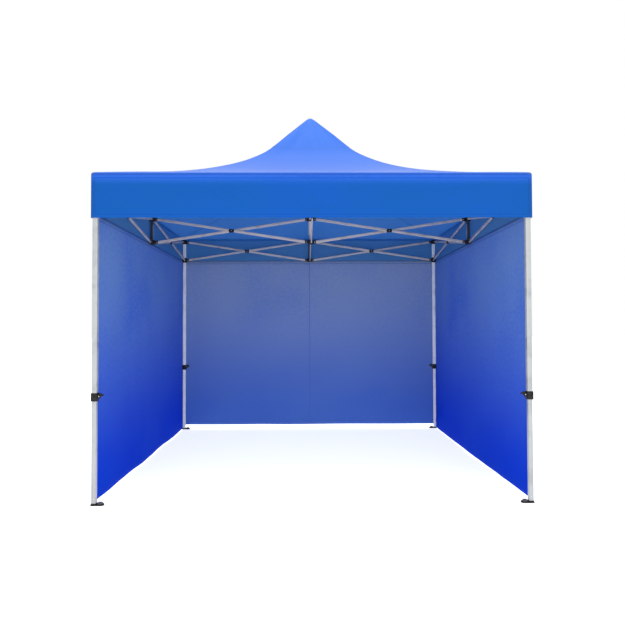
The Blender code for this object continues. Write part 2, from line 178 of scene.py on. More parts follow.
# Coated polyester: plain weave, faint storage creases, stitched seams.
# Each look turns from colour to top over the heights in fade: painted light, lighter up the cloth.
clothLooks = {
    "roofCloth": {
        "colour": (0.016, 0.130, 0.62),
        "worn": (0.024, 0.160, 0.66),
        "top": (0.018, 0.150, 0.66),
        "fade": (0.0, 1.9),
        "seam": (0.005, 0.060, 0.36),
        "seamWidth": 0.003,
        "rough": 0.42,
        "specular": 0.16,
        "sheen": 0.31,
        "glow": 0.30,
        "glowColour": (0.020, 0.20, 0.80, 1),
    },
    "valanceCloth": {
        "colour": (0.002, 0.090, 0.36),
        "worn": (0.004, 0.082, 0.50),
        # The top colour over the fade heights makes a lighter band below the top edge: a painted highlight
        # where the cloth turns over the eave.
        "top": (0.022, 0.125, 0.62),
        "fade": (0.215, 0.285),
        "seam": (0.003, 0.060, 0.36),
        "seamWidth": 0.003,
        "rough": 0.50,
        "specular": 0.10,
        "sheen": 0.06,
        "glow": 0.20,
        "glowColour": (0.006, 0.16, 0.70, 1),
    },
    "roofLining": {
        "colour": (0.150, 0.35, 0.42),
        "worn": (0.200, 0.42, 0.46),
        "top": (0.160, 0.39, 0.46),
        "fade": (0.0, 1.9),
        "seam": (0.010, 0.030, 0.06),
        "seamWidth": 0.009,
        "rough": 0.50,
        "specular": 0.15,
        "sheen": 0.05,
        "glow": 0.60,
        "glowColour": (0.20, 0.66, 0.84, 1),
    },
    "wallCloth": {
        "colour": (0.006, 0.085, 0.50),
        "worn": (0.010, 0.105, 0.54),
        "top": (0.008, 0.095, 0.50),
        "fade": (0.0, 1.9),
        "seam": (0.005, 0.028, 0.34),
        "seamWidth": 0.003,
        "rough": 0.46,
        "specular": 0.12,
        "sheen": 0.12,
        "glow": 0.30,
        "glowColour": (0.012, 0.15, 0.70, 1),
    },
    "wallLining": {
        "colour": (0.002, 0.044, 0.60),
        "worn": (0.005, 0.080, 0.62),
        # Much lighter and greyer towards the top: painted light.
        "top": (0.210, 0.37, 0.60),
        "fade": (0.0, 1.9),
        "seam": (0.020, 0.060, 0.46),
        "seamWidth": 0.004,
        "rough": 0.60,
        "specular": 0.02,
        "sheen": 0.0,
        "glow": 0.25,
        "glowColour": (0.020, 0.15, 0.80, 1),
    },
    # The back wall's lining is the side walls' lining painted lighter and greyer: painted light where it
    # faces the lamps.
    "backLiningPaintedLight": {
        "colour": (0.070, 0.165, 0.52),
        "worn": (0.105, 0.22, 0.53),
        "top": (0.340, 0.43, 0.52),
        "fade": (0.0, 1.9),
        "seam": (0.075, 0.14, 0.42),
        "seamWidth": 0.006,
        "rough": 0.60,
        "specular": 0.06,
        "sheen": 0.0,
        "glow": 0.25,
        "glowColour": (0.12, 0.26, 0.80, 1),
    },
}
clothGrain = {
    "pitch": 0.0011,  # of the weave
    "weaveDepth": 0.00012,
    "creaseScale": 2.6,
    "creaseDepth": 0.004,
    "seamDepth": 0.0012,
    "stitch": 0.0042,  # length of one stitch
    "stitchAt": 0.0035,  # from the seam
    "stitchHalf": 0.0007,
    "paintedLightWander": 0.25,  # share of the painted lightening's height
    "sheenRough": 0.45,
}


def clothMaterial(name, finish, seamFrom):
    # seamFrom gives the distance to the nearest seam, and how far along it.
    look = clothLooks[finish]
    constants = {
        "Specular IOR Level": look["specular"],
        "Sheen Weight": look["sheen"],
        "Sheen Roughness": clothGrain["sheenRough"],
    }
    made, shader, start = newMaterial(name, constants)
    uv, u, v = start.flatPlace("cloth")
    turn = math.pi / clothGrain["pitch"]
    warp, weft = (u * turn).sin(), (v * turn).sin()
    over = (warp * weft).below(0.0)
    weave = over * abs(warp) + (1 - over) * abs(weft)
    seam, along = seamFrom(start, u, v)
    row = abs(seam - clothGrain["stitchAt"]).below(clothGrain["stitchHalf"])
    stitches = row * ((along * (math.pi / clothGrain["stitch"])).sin() + 0.55).ramp(0, 0.2)
    ridge = seam.ramp(0.0, look["seamWidth"])
    broad = uv.noise(1.1, 3.0)
    fine = uv.noise(34.0, 4.0, 0.6)
    creases = uv.noise(clothGrain["creaseScale"], 5.0, 0.62)
    dust = (broad * 0.6 + fine * 0.4).ramp(0.35, 0.75)
    low, high = look["fade"]
    # Up the cloth the colour turns towards the look's top colour: painted light, strongest on the walls'
    # linings.
    paintedLightTowardsTop = (v + (broad - 0.5) * clothGrain["paintedLightWander"] * (high - low)).ramp(low, high)
    base = paintedLightTowardsTop.mix((*look["colour"], 1), (*look["top"], 1))
    base = (dust * 0.6).mix(base, (*look["worn"], 1))
    base = ((1 - ridge) * 0.75 + stitches * 0.35).mix(base, (*look["seam"], 1))
    rough = look["rough"] + fine * 0.10 + weave * 0.04 + broad * 0.06
    relief = creases.bump(0.35, clothGrain["creaseDepth"])
    relief = ridge.bump(0.6, clothGrain["seamDepth"], relief)
    relief = (weave + stitches * 2.5).bump(0.5, clothGrain["weaveDepth"], relief)
    feed(shader, {"Base Color": base, "Roughness": rough, "Normal": relief})
    # Some of the light comes through the cloth.
    light = start.add("ShaderNodeBsdfTranslucent", None, {"Color": look["glowColour"]})
    surface = Wire(start.tree, shader.outputs[0])
    both = start.add("ShaderNodeMixShader", None, {0: look["glow"], 1: surface, 2: light})
    feed(start.tree.nodes["Material Output"], {"Surface": both})
    return made


def roofSeams(start, u, v):
    # The hips, the eave and the edge of the sewn-on top piece, from the plan map.
    x, y = (abs(part) for part in start.flatPlace("plan")[1:])
    out = x.most(y)
    hip = abs(x - y) * math.sqrt(0.5)
    cap = abs(out - roofForm["capHalf"])
    eave = abs(eaveOut - out)
    return hip.least(cap).least(eave), x + y


def hemSeams(width, height, hem, middle):
    # A stitched hem along each edge and, on the back wall, the middle seam.
    def found(start, u, v):
        sides = u.least(width - u)
        ends = v.least(height - v)
        nearest = abs(sides.least(ends) - hem)
        if middle:
            nearest = nearest.least(abs(u - width / 2))
        return nearest, u + v

    return found


# Powder-coated tube, moulded nylon, zinc and webbing.
paintLooks = {
    # One leg paint in two copies: the front copy darker, painted shade, the back copy lighter, painted
    # light.
    "frontLegPaintShaded": {"colour": (0.37, 0.385, 0.39, 1), "scuff": (0.30, 0.31, 0.32, 1)},
    "rearLegPaintLit": {"colour": (0.88, 0.88, 0.86, 1), "scuff": (0.70, 0.70, 0.69, 1)},
    "barPaint": {"colour": (0.54, 0.48, 0.45, 1), "scuff": (0.40, 0.36, 0.34, 1)},
}
paintGrain = {"peel": 900.0, "cloud": 9.0, "scratches": (160.0, 160.0, 9.0), "rough": 0.34, "coat": 0.35}
nylonLooks = {
    "blackNylon": {"colour": (0.005, 0.005, 0.006, 1), "chalk": (0.018, 0.018, 0.020, 1), "rough": 0.46},
    "greyNylon": {"colour": (0.060, 0.060, 0.062, 1), "chalk": (0.120, 0.120, 0.122, 1), "rough": 0.50},
}
zincLook = {"bright": (0.62, 0.62, 0.60, 1), "dull": (0.42, 0.42, 0.43, 1), "rough": 0.26}
webbingLook = {"colour": (0.010, 0.010, 0.012, 1), "dust": (0.040, 0.040, 0.044, 1), "ribs": 180.0}


def paintMaterial(name):
    look = paintLooks[name]
    made, shader, start = newMaterial(name, {"Specular IOR Level": 0.5, "Coat Roughness": 0.18})
    place = start.objectPlace()
    peel = place.noise(paintGrain["peel"], 2.0)
    cloud = place.noise(paintGrain["cloud"], 4.0, 0.6)
    stretched = start.add("ShaderNodeMapping", None, {"Vector": place, "Scale": paintGrain["scratches"]})
    scratch = stretched.noise(1.0, 6.0, 0.7)
    worn = start.pointiness().ramp(0.52, 0.60) * cloud.ramp(0.45, 0.7) * 0.7
    marks = scratch.ramp(0.66, 0.72) * cloud.ramp(0.5, 0.65)
    links = {
        "Base Color": (cloud * 0.35 + marks * 0.6 + worn).mix(look["colour"], look["scuff"]),
        "Roughness": paintGrain["rough"] + cloud * 0.12 + marks * 0.15,
        "Metallic": worn * 0.6,
        "Coat Weight": paintGrain["coat"] - marks * 0.3,
        "Normal": (peel * 0.6 - marks * 0.8).bump(0.18, 0.0003),
    }
    feed(shader, links)
    return made


def nylonMaterial(name):
    look = nylonLooks[name]
    made, shader, start = newMaterial(name, {"Specular IOR Level": 0.22})
    place = start.objectPlace()
    grain = start.add("ShaderNodeTexVoronoi", None, {"Vector": place, "Scale": 1600.0})
    cloud = place.noise(40.0, 4.0, 0.65)
    scuffs = start.pointiness().ramp(0.51, 0.60) * cloud.ramp(0.4, 0.7)
    links = {
        "Base Color": (cloud.ramp(0.45, 0.8) * 0.4 + scuffs * 0.6).mix(look["colour"], look["chalk"]),
        "Roughness": look["rough"] + cloud * 0.18 - scuffs * 0.1,
        "Normal": grain.bump(0.22, 0.0004),
    }
    feed(shader, links)
    return made


def zincMaterial():
    made, shader, start = newMaterial("zincRivet", {"Specular IOR Level": 0.5})
    cloud = start.objectPlace().noise(260.0, 4.0, 0.6)
    links = {
        "Base Color": cloud.ramp(0.35, 0.7).mix(zincLook["bright"], zincLook["dull"]),
        "Metallic": 0.96 - cloud * 0.1,
        "Roughness": zincLook["rough"] + cloud * 0.22,
        "Normal": cloud.bump(0.15, 0.0003),
    }
    feed(shader, links)
    return made


def webbingMaterial():
    made, shader, start = newMaterial("blackWebbing", {"Specular IOR Level": 0.3, "Sheen Weight": 0.3})
    place = start.objectPlace()
    sockets = {"Vector": place, "Scale": webbingLook["ribs"], "Distortion": 0.6}
    ribs = start.add("ShaderNodeTexWave", {"bands_direction": "Z"}, sockets)
    cloud = place.noise(120.0, 3.0)
    links = {
        "Base Color": (ribs * 0.5 + cloud * 0.5).mix(webbingLook["colour"], webbingLook["dust"]),
        "Roughness": 0.7 + cloud * 0.2,
        "Normal": ribs.bump(0.5, 0.0006),
    }
    feed(shader, links)
    return made


print("materials")
frontLegPaintShaded = paintMaterial("frontLegPaintShaded")
rearLegPaintLit = paintMaterial("rearLegPaintLit")
barPaint = paintMaterial("barPaint")
blackNylon = nylonMaterial("blackNylon")
greyNylon = nylonMaterial("greyNylon")
zincRivet = zincMaterial()
blackWebbing = webbingMaterial()


# Mesh helpers.
def bake(name, shape, materials, sharp=32.0):
    mesh = bpy.data.meshes.new(name)
    shape.to_mesh(mesh)
    shape.free()
    for material in materials:
        mesh.materials.append(material)
    mesh.shade_smooth()
    mesh.set_sharp_from_angle(angle=math.radians(sharp))
    made = bpy.data.objects.new(name, mesh)
    scene.collection.objects.link(made)
    return made


def addPiece(name, shape, materials, body, node=None):
    # A rigid piece, the body that carries it and the CAD node that it stands in for.
    made = bake(name, shape, materials)
    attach(made, body)
    if node:
        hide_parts(node)
    return made


def placed(shape, matrix):
    bmesh.ops.transform(shape, matrix=matrix, verts=shape.verts)
    if matrix.determinant() < 0:
        bmesh.ops.reverse_faces(shape, faces=shape.faces)
    return shape


def joined(shapes):
    whole = bmesh.new()
    for shape in shapes:
        part = bpy.data.meshes.new("part")
        shape.to_mesh(part)
        shape.free()
        whole.from_mesh(part)
        bpy.data.meshes.remove(part)
    return whole


def painted(shape, slot):
    for face in shape.faces:
        face.material_index = slot
    return shape


def rounded(shape, edges, offset, segments, clamp=False):
    bmesh.ops.bevel(
        shape,
        geom=edges,
        offset=offset,
        segments=segments,
        profile=0.5,
        affect="EDGES",
        material=-1,
        clamp_overlap=clamp,
    )
    return shape


def trimmed(shape, point, direction, closeness=0.0):
    # Cuts off what lies behind a plane, and gives the new rim.
    everything = shape.verts[:] + shape.edges[:] + shape.faces[:]
    cut = bmesh.ops.bisect_plane(
        shape, geom=everything, dist=closeness, plane_co=point, plane_no=direction, clear_inner=True
    )
    return [item for item in cut["geom_cut"] if isinstance(item, bmesh.types.BMEdge) and item.is_valid]


def cuboid(low, high):
    low, high = Vector(low), Vector(high)
    shape = bmesh.new()
    bmesh.ops.create_cube(shape, size=1)
    bmesh.ops.scale(shape, vec=high - low, verts=shape.verts)
    bmesh.ops.translate(shape, vec=(low + high) / 2, verts=shape.verts)
    return shape


def edgesAlong(shape, axis, least=1e-6):
    return [edge for edge in shape.edges if abs((edge.verts[0].co - edge.verts[1].co)[axis]) > least]


def block(low, high, rounding):
    shape = cuboid(low, high)
    return rounded(shape, shape.edges[:], rounding, 2)


def tube(low, high, axis, rounding, wall):
    # A rectangular tube with rounded corners, open at both ends along that axis.
    shape = cuboid(low, high)
    ends = [face for face in shape.faces if abs(face.normal[axis]) > 0.9]
    bmesh.ops.delete(shape, geom=ends, context="FACES_ONLY")
    rounded(shape, edgesAlong(shape, axis), rounding, 4)
    bmesh.ops.solidify(shape, geom=shape.faces[:], thickness=wall)
    return shape


def roundTube(low, high, radius, wall):
    shape = bmesh.new()
    bmesh.ops.create_cone(
        shape, cap_ends=False, segments=40, radius1=radius, radius2=radius, depth=high - low
    )
    bmesh.ops.translate(shape, vec=(0, 0, (low + high) / 2), verts=shape.verts)
    bmesh.ops.solidify(shape, geom=shape.faces[:], thickness=wall)
    return shape


def domedRivet(at, direction, radius, height):
    # A round head with a soft crown, standing on a face.
    shape = bmesh.new()
    bmesh.ops.create_cone(shape, cap_ends=True, segments=20, radius1=radius, radius2=radius, depth=height)
    rim = [edge for edge in shape.edges if all(vert.co.z > 0 for vert in edge.verts)]
    rounded(shape, rim, height * 0.7, 4)
    direction = Vector(direction)
    turn = Vector((0, 0, 1)).rotation_difference(direction).to_matrix().to_4x4()
    return placed(shape, Matrix.Translation(Vector(at) + direction.normalized() * height * 0.5) @ turn)


def softened(node, rounding, keep=None):
    # A copy of a CAD node with rounded edges, or the part of it above or below a height.
    shape = bmesh.new()
    shape.from_mesh(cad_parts[node].data)
    bmesh.ops.remove_doubles(shape, verts=shape.verts, dist=0.00002)
    if keep:
        height, side = keep
        rim = trimmed(shape, (0, 0, height), (0, 0, side), 1e-6)
        bmesh.ops.bridge_loops(shape, edges=rim)
    bmesh.ops.dissolve_limit(shape, angle_limit=math.radians(1.5), verts=shape.verts, edges=shape.edges)
    bmesh.ops.recalc_face_normals(shape, faces=shape.faces)
    crisp = [edge for edge in shape.edges if edge.is_manifold and edge.calc_face_angle(0) > math.radians(30)]
    return rounded(shape, crisp, rounding, 2, clamp=True)


def levelFrame(origin, xAxis, yAxis):
    xAxis, yAxis = (Vector((*axis, 0)) for axis in (xAxis, yAxis))
    turn = Matrix((xAxis, yAxis, Vector((0, 0, 1)))).transposed().to_4x4()
    return Matrix.Translation(origin) @ turn


def crossFrame(side):  # X runs from the centre out to that side
    x, y = outward[side]
    return levelFrame((0, 0, 0), (x, y), (-y, x))


def halfFrame(side, other):  # X runs from the middle of a side to its corner, Y outwards
    return levelFrame(Vector((*outward[side], 0)) * legAxis, outward[other], outward[side])


def cornerFrame(a, b):  # on a leg's axis, X and Y inwards
    x, y = outward[b][0], outward[a][1]
    return levelFrame((x * legAxis, y * legAxis, 0), (-x, 0), (0, -y))


def raised(matrix, height):
    return matrix @ Matrix.Translation((0, 0, height))


print("roof")
roofForm = {
    "columns": 96,  # across one side
    "eaveRings": 9,
    "rings": 72,  # rows of cloth from the rounded eave to the peak
    "crowding": 0.92,  # below 1, the rows lie closer towards the peak
    # Half the plan width of the roof, and its height there: straight under the peak, slack below.
    "profile": [
        (0.0, 3.129),
        (0.18, 2.922),
        (0.36, 2.715),
        (0.50, 2.602),
        (0.65, 2.508),
        (0.80, 2.433),
        (0.95, 2.377),
        (1.10, 2.330),
        (1.30, 2.274),
        (1.4825, 2.222),
    ],
    "tipHalf": 0.010,
    "tipDrop": 0.010,
    "tipRound": 0.045,
    "eaveRound": 0.016,
    "sag": 0.012,
    "sagReach": 1.02,
    "pull": 0.013,  # height of the creases below the peak
    "pullAt": 0.23,
    "pullSpread": 0.13,
    "slow": 0.006,
    "slowScale": 2.1,
    "capHalf": 0.335,  # half the sewn-on top piece
    "capStep": 0.0014,
    "capStepWidth": 0.004,
    "thickness": 0.0012,
    "clothStretch": 1.17,  # cloth to plan, up the slope
    "topSplit": 0.165,  # half the piece that stays with the hub
    "stripSplit": 0.72,  # between the pieces on the two bars of a half side
    "foldSlope": 32,
    "flatSpare": 1.02,
}
roofCloth = clothMaterial("roofCloth", "roofCloth", roofSeams)
roofLining = clothMaterial("roofLining", "roofLining", roofSeams)


def profileHeight(out):
    # A smooth line through the profile's points.
    points = roofForm["profile"]
    at = min(max(i for i, point in enumerate(points) if point[0] <= out), len(points) - 2)
    before, low, high, after = (points[min(max(at + i, 0), len(points) - 1)] for i in (-1, 0, 1, 2))
    span = high[0] - low[0]
    part = (out - low[0]) / span
    leave = (high[1] - before[1]) / (high[0] - before[0]) * span
    arrive = (after[1] - low[1]) / (after[0] - low[0]) * span
    square, cube = part**2, part**3
    return (
        low[1] * (2 * cube - 3 * square + 1)
        + leave * (cube - 2 * square + part)
        + high[1] * (3 * square - 2 * cube)
        + arrive * (cube - square)
    )


def pullLines(x, y, out):
    # Creases that run down from the peak and fade towards the top piece's seam.
    angle = math.atan2(y, x)
    fade = math.exp(-(((out - roofForm["pullAt"]) / roofForm["pullSpread"]) ** 2))
    broad = noise.noise(Vector((angle * 3.4, out * 1.2, 3.7)))
    narrow = noise.noise(Vector((angle * 8.0, out * 2.0, 9.1)))
    return roofForm["pull"] * (broad + 0.6 * narrow) * fade


def roofPoint(x, y):
    # Height of the cloth's outer face above a point of the plan.
    out, across = max(abs(x), abs(y)), min(abs(x), abs(y))
    share = 1 - out / eaveOut
    height = profileHeight(min(out, eaveOut))
    # The cloth turns down over the corner brackets into the valance.
    bend = roofForm["eaveRound"]
    turned = min(1.0, max(0.0, out - (eaveOut - bend)) / bend)
    height -= bend * (1 - math.sqrt(1 - turned**2))
    # Each side hangs a little between its hips, most of the way down.
    ratio = across / max(out, 1e-6)
    hang = math.sin(math.pi * min(1, share * roofForm["sagReach"]))
    height -= roofForm["sag"] * (1 - ratio**2) * hang
    height += pullLines(x, y, out)
    # Slow unevenness, nothing at the eave or the peak.
    scale = roofForm["slowScale"]
    uneven = noise.noise(Vector((x * scale, y * scale, 5.0)))
    height += uneven * roofForm["slow"] * min(1, share * 5) * min(1, out / 0.3)
    # The sewn-on top piece ends in a small step.
    height += roofForm["capStep"] / (1 + math.exp((out - roofForm["capHalf"]) / roofForm["capStepWidth"]))
    tip = max(0.0, 1 - out / roofForm["tipRound"])
    return height - roofForm["tipDrop"] * tip**2


def roofPanel(side):
    # One side of the roof as a grid that narrows to the tip.
    shape = bmesh.new()
    few, many, bend = roofForm["eaveRings"], roofForm["rings"], roofForm["eaveRound"]
    bmesh.ops.create_grid(shape, x_segments=roofForm["columns"], y_segments=few + many, size=1)
    outX, outY = outward[side]
    acrossX, acrossY = -outY, outX
    for vert in shape.verts:
        u, row = vert.co.x, (vert.co.y + 1) / 2 * (few + many)
        if row < few:
            out = eaveOut - bend * (1 - math.cos(math.pi / 2 * row / few))
        else:
            low = eaveOut - bend
            out = low + (roofForm["tipHalf"] - low) * ((row - few) / many) ** roofForm["crowding"]
        x, y = outX * out + acrossX * u * out, outY * out + acrossY * u * out
        vert.co = (x, y, roofPoint(x, y))
    clothMap, planMap = shape.loops.layers.uv.new("cloth"), shape.loops.layers.uv.new("plan")
    for face in shape.faces:
        for loop in face.loops:
            x, y = loop.vert.co.xy
            out = x * outX + y * outY
            loop[clothMap].uv = (x * acrossX + y * acrossY, (eaveOut - out) * roofForm["clothStretch"])
            loop[planMap].uv = (x, y)
    return shape


def wholeRoof():
    # The four sides sewn together, each vertex keeping its normal, so that later cuts don't show.
    shape = joined([roofPanel(side) for side in outward])
    bmesh.ops.remove_doubles(shape, verts=shape.verts, dist=0.0003)
    tipEdges = [edge for edge in shape.edges if edge.is_boundary and edge.verts[0].co.z > eaveZ]
    bmesh.ops.contextual_create(shape, geom=tipEdges)
    bmesh.ops.recalc_face_normals(shape, faces=shape.faces)
    if shape.faces[0].normal.z < 0:
        bmesh.ops.reverse_faces(shape, faces=shape.faces)
    shape.normal_update()
    wholeNormal = shape.verts.layers.float_vector.new("wholeNormal")
    for vert in shape.verts:
        vert[wholeNormal] = vert.normal
    mesh = bpy.data.meshes.new("wholeRoof")
    shape.to_mesh(mesh)
    shape.free()
    return mesh


def roofPiece(name, planes):
    # The part of the roof inside all these planes, each a point and a direction that points in.
    shape = bmesh.new()
    shape.from_mesh(roofMesh)
    for point, direction in planes:
        trimmed(shape, point, direction, 1e-5)
    wholeNormal = shape.verts.layers.float_vector["wholeNormal"]
    normals = [vert[wholeNormal].normalized() for vert in shape.verts]
    shape.verts.layers.float_vector.remove(wholeNormal)
    area = sum(face.calc_area() for face in shape.faces)
    made = bake(name, shape, [roofCloth, roofLining], 180)
    count = len(made.data.polygons)
    skin = made.modifiers.new("thickness", "SOLIDIFY")
    skin.thickness, skin.offset, skin.material_offset = roofForm["thickness"], -1, 1
    bpy.context.view_layer.update()
    thick = bpy.data.meshes.new_from_object(made.evaluated_get(bpy.context.evaluated_depsgraph_get()))
    made.modifiers.clear()
    made.data = thick
    both = normals + [-normal for normal in normals]
    bends = []
    for polygon in thick.polygons:
        rim = polygon.index >= 2 * count  # the faces past both skins close the edge
        for corner in polygon.loop_indices:
            bends.append(polygon.normal.copy() if rim else both[thick.loops[corner].vertex_index])
    thick.normals_split_custom_set(bends)
    return made, area


def declareRoof(made, area):
    # The size of a flat sheet as long as the piece and as wide as its slope; the result is not used.
    verts = made.data.vertices
    size = [max(vert.co[i] for vert in verts) - min(vert.co[i] for vert in verts) for i in range(3)]
    level = sorted(size[:2])
    spare = roofForm["flatSpare"]
    flat = tuple(sorted((level[1] * spare, math.hypot(level[0], size[2]) * spare)))
    min(area, flat[0] * flat[1])


def addRoofTop():
    half = roofForm["topSplit"]
    planes = [((x * half, y * half, 0), (-x, -y, 0)) for x, y in outward.values()]
    made, area = roofPiece("roof_peak", planes)
    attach(made, "canopy_cover")
    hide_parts("roof_cover")
    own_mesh(made)


def addRoofStrips(side, other):
    # Half a side: the piece over each of its two outer bars, carried by that bar.
    out, along = Vector((*outward[side], 0)), Vector((*outward[other], 0))
    hip = ((0, 0, 0), tuple(out - along))
    middle = ((0, 0, 0), tuple(along))
    topEdge = (tuple(out * roofForm["topSplit"]), tuple(out))
    split = tuple(along * roofForm["stripSplit"])
    strips = (
        ("middle", [hip, middle, topEdge, (split, tuple(-along))], f"{side}_{other}_bar_to_slider"),
        ("corner", [hip, (split, tuple(along))], f"{side}_{other}_bar_to_corner"),
    )
    for part, planes, body in strips:
        made, area = roofPiece(f"roof_{side}_{other}_{part}", planes)
        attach(made, body)
        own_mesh(made)
        declareRoof(made, area)


roofMesh = wholeRoof()
addRoofTop()
for side in outward:
    for other in neighbours(side):
        addRoofStrips(side, other)
bpy.data.meshes.remove(roofMesh)

print("valance")
valanceForm = {
    "columns": 110,
    "rows": 14,
    "wave": 0.0022,
    "steady": 0.10,  # no wave this near the corners
    "hem": 0.022,
    "turnIn": 0.03,
    "thickness": 0.0012,
}
offSeams = (0.7, 1.1)  # a place of the plan map that is clear of every seam of the roof


def flatCloth(width, height, columns, rows):
    # A standing sheet across X, from Z 0 up, facing -Y, with its cloth map in metres.
    shape = bmesh.new()
    bmesh.ops.create_grid(shape, x_segments=columns, y_segments=rows, size=0.5)
    bmesh.ops.scale(shape, vec=(width, height, 1), verts=shape.verts)
    clothMap, planMap = shape.loops.layers.uv.new("cloth"), shape.loops.layers.uv.new("plan")
    for face in shape.faces:
        for loop in face.loops:
            loop[clothMap].uv = (loop.vert.co.x + width / 2, loop.vert.co.y + height / 2)
            loop[planMap].uv = offSeams
    bmesh.ops.rotate(shape, matrix=Matrix.Rotation(math.radians(90), 3, "X"), verts=shape.verts)
    bmesh.ops.translate(shape, vec=(0, 0, height / 2), verts=shape.verts)
    return shape


def hungCloth(name, shape, materials, at, side, thickness, offset):
    # Turns the sheet's -Y to the side's outward direction and gives it a lined thickness.
    x, y = outward[side]
    made = bake(name, placed(shape, levelFrame(at, (-y, x), (-x, -y))), materials, 180)
    skin = made.modifiers.new("thickness", "SOLIDIFY")
    skin.thickness, skin.offset, skin.material_offset = thickness, offset, 1
    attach(made, f"{side}_top_bracket")
    return made


valanceHeight = roofPoint(eaveOut, 0) - valanceZ
valanceHems = hemSeams(2 * eaveOut, valanceHeight, valanceForm["hem"], False)
valanceCloth = clothMaterial("valanceCloth", "valanceCloth", valanceHems)


def addValance(side):
    shape = flatCloth(2 * eaveOut, valanceHeight, valanceForm["columns"], valanceForm["rows"])
    seed = len(side)
    for vert in shape.verts:
        along, z = vert.co.x, vert.co.z
        low = max(0.0, 1 - z / valanceHeight)
        edge = min(1.0, (eaveOut - abs(along)) / valanceForm["steady"])
        wave = noise.noise(Vector((along * 3.1, seed * 5.0, z * 1.5))) + 0.5 * math.sin(along * 9 + seed)
        vert.co.y = -valanceForm["wave"] * (0.5 + wave) * edge * low**0.8
    x, y = outward[side]
    at = (x * eaveOut, y * eaveOut, valanceZ)
    cloths = [valanceCloth, roofLining]
    made = hungCloth(f"valance_{side}", shape, cloths, at, side, valanceForm["thickness"], -1)
    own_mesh(made)
    flat = (2 * eaveOut, valanceHeight + valanceForm["turnIn"])


for side in outward:
    addValance(side)

print("walls")
wallForm = {
    "cell": 0.028,
    "heldFrom": 1.872,  # tied flat above this
    "slackening": 0.5,  # and fully free this far below it
    "billow": 0.016,
    "ripple": 0.0084,
    "hem": 0.035,
    "hemReach": 0.25,
    "hemWave": 0.003,
    "hemDrop": 0.004,
    "seamRise": 0.0016,
    "seamHalf": 0.012,
    "thickness": 0.0009,
    "frontInset": 0.006,
    "sideBottom": 0.008,
}
backLow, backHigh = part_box("back_wall")
leftLow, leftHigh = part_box("left_wall")
rightLow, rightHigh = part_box("right_wall")
for low in (leftLow, rightLow):
    low.y = -legAxis + wallForm["frontInset"]  # fastened behind the front leg
    low.z = wallForm["sideBottom"]  # reaches the ground, where the back wall stops short of it

sideHems = hemSeams(leftHigh.y - leftLow.y, leftHigh.z - leftLow.z, wallForm["hem"], False)
backHems = hemSeams(backHigh.x - backLow.x, backHigh.z - backLow.z, wallForm["hem"], True)
wallCloth = clothMaterial("wallCloth", "wallCloth", sideHems)
wallLining = clothMaterial("wallLining", "wallLining", sideHems)
backCloth = clothMaterial("backCloth", "wallCloth", backHems)
# A lighter copy of the wall lining: painted light.
backLiningPaintedLight = clothMaterial("backLiningPaintedLight", "backLiningPaintedLight", backHems)


def wallDepth(x, z, width, height, seed):
    # How far a hanging wall stands inwards from its flat sheet.
    edge = max(0.0, 1 - (abs(x) / (width / 2)) ** 6)
    free = edge * min(1.0, max(0.0, (wallForm["heldFrom"] - z) / wallForm["slackening"]))
    bow = math.cos(x / width * math.pi) * math.sin(math.pi * min(1, z / height * 0.8 + 0.15))
    ripple = noise.noise(Vector((x * 1.6, z * 0.8, seed)))
    ripple += 0.45 * noise.noise(Vector((x * 5.0, z * 1.7, seed + 4)))
    foot = max(0.0, 1 - z / wallForm["hemReach"])
    loose = foot * wallForm["hemWave"] * math.sin(x * 5.3 + seed)
    return free * (wallForm["billow"] * bow + wallForm["ripple"] * ripple + loose)


def addWall(side, low, high, cloths):
    width = max(high.x - low.x, high.y - low.y)
    height = high.z - low.z
    shape = flatCloth(width, height, round(width / wallForm["cell"]), round(height / wallForm["cell"]))
    seed = len(side) * 11.3
    for vert in shape.verts:
        x, z = vert.co.x, vert.co.z
        vert.co.y = wallDepth(x, z, width, height, seed)
        if side == "back":
            vert.co.y -= wallForm["seamRise"] * math.exp(-((x / wallForm["seamHalf"]) ** 2))
        # The bottom hem hangs a little uneven.
        foot = max(0.0, 1 - z / wallForm["hemReach"])
        vert.co.z += foot * wallForm["hemDrop"] * noise.noise(Vector((x * 2.5, seed, 1.0)))
    x, y = outward[side]
    at = Vector(((low.x + high.x) / 2, (low.y + high.y) / 2, low.z))
    made = hungCloth(f"wall_{side}", shape, cloths, at, side, wallForm["thickness"], 0)
    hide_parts(f"{side}_wall")
    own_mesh(made)


addWall("left", leftLow, leftHigh, [wallCloth, wallLining])
addWall("right", rightLow, rightHigh, [wallCloth, wallLining])
addWall("back", backLow, backHigh, [backCloth, backLiningPaintedLight])

print("scissor bars")
barForm = {
    "width": 0.012,
    "height": 0.024,
    "wall": 0.0012,
    "corner": 0.0026,
    "overhang": 0.010,
    "plugDepth": 0.012,
    "plugLip": 0.0012,
    "plugGap": 0.0013,
    "plugRound": 0.001,
}
crossForm = {
    "length": 0.048,
    "skin": 0.0009,
    "taller": 0.0015,
    "capDepth": 0.0035,
    "capHalf": 0.018,
    "capRise": 0.0105,
    "capRound": 0.0012,
    "rivet": 0.0042,
    "rivetHeight": 0.0016,
}


def aroundBar(low, high, side, wider=0.0, taller=0.0):
    # Opposite corners of a box along a bar whose middle is `side` off the truss plane.
    halfWidth, halfHeight = barForm["width"] / 2 + wider, barForm["height"] / 2 + taller
    return (low, side - halfWidth, -halfHeight), (high, side + halfWidth, halfHeight)


def barPlug(end, sign, side):
    inner, outer = sorted((end - sign * barForm["plugDepth"], end + sign * barForm["plugLip"]))
    gap = barForm["plugGap"]
    return block(*aroundBar(inner, outer, side, -gap, -gap), barForm["plugRound"])


def crossSleeve(middle, side):
    reach, skin = crossForm["length"] / 2, crossForm["skin"]
    box = aroundBar(middle - reach, middle + reach, side, skin, crossForm["taller"])
    return tube(*box, 0, barForm["corner"], skin * 0.8)


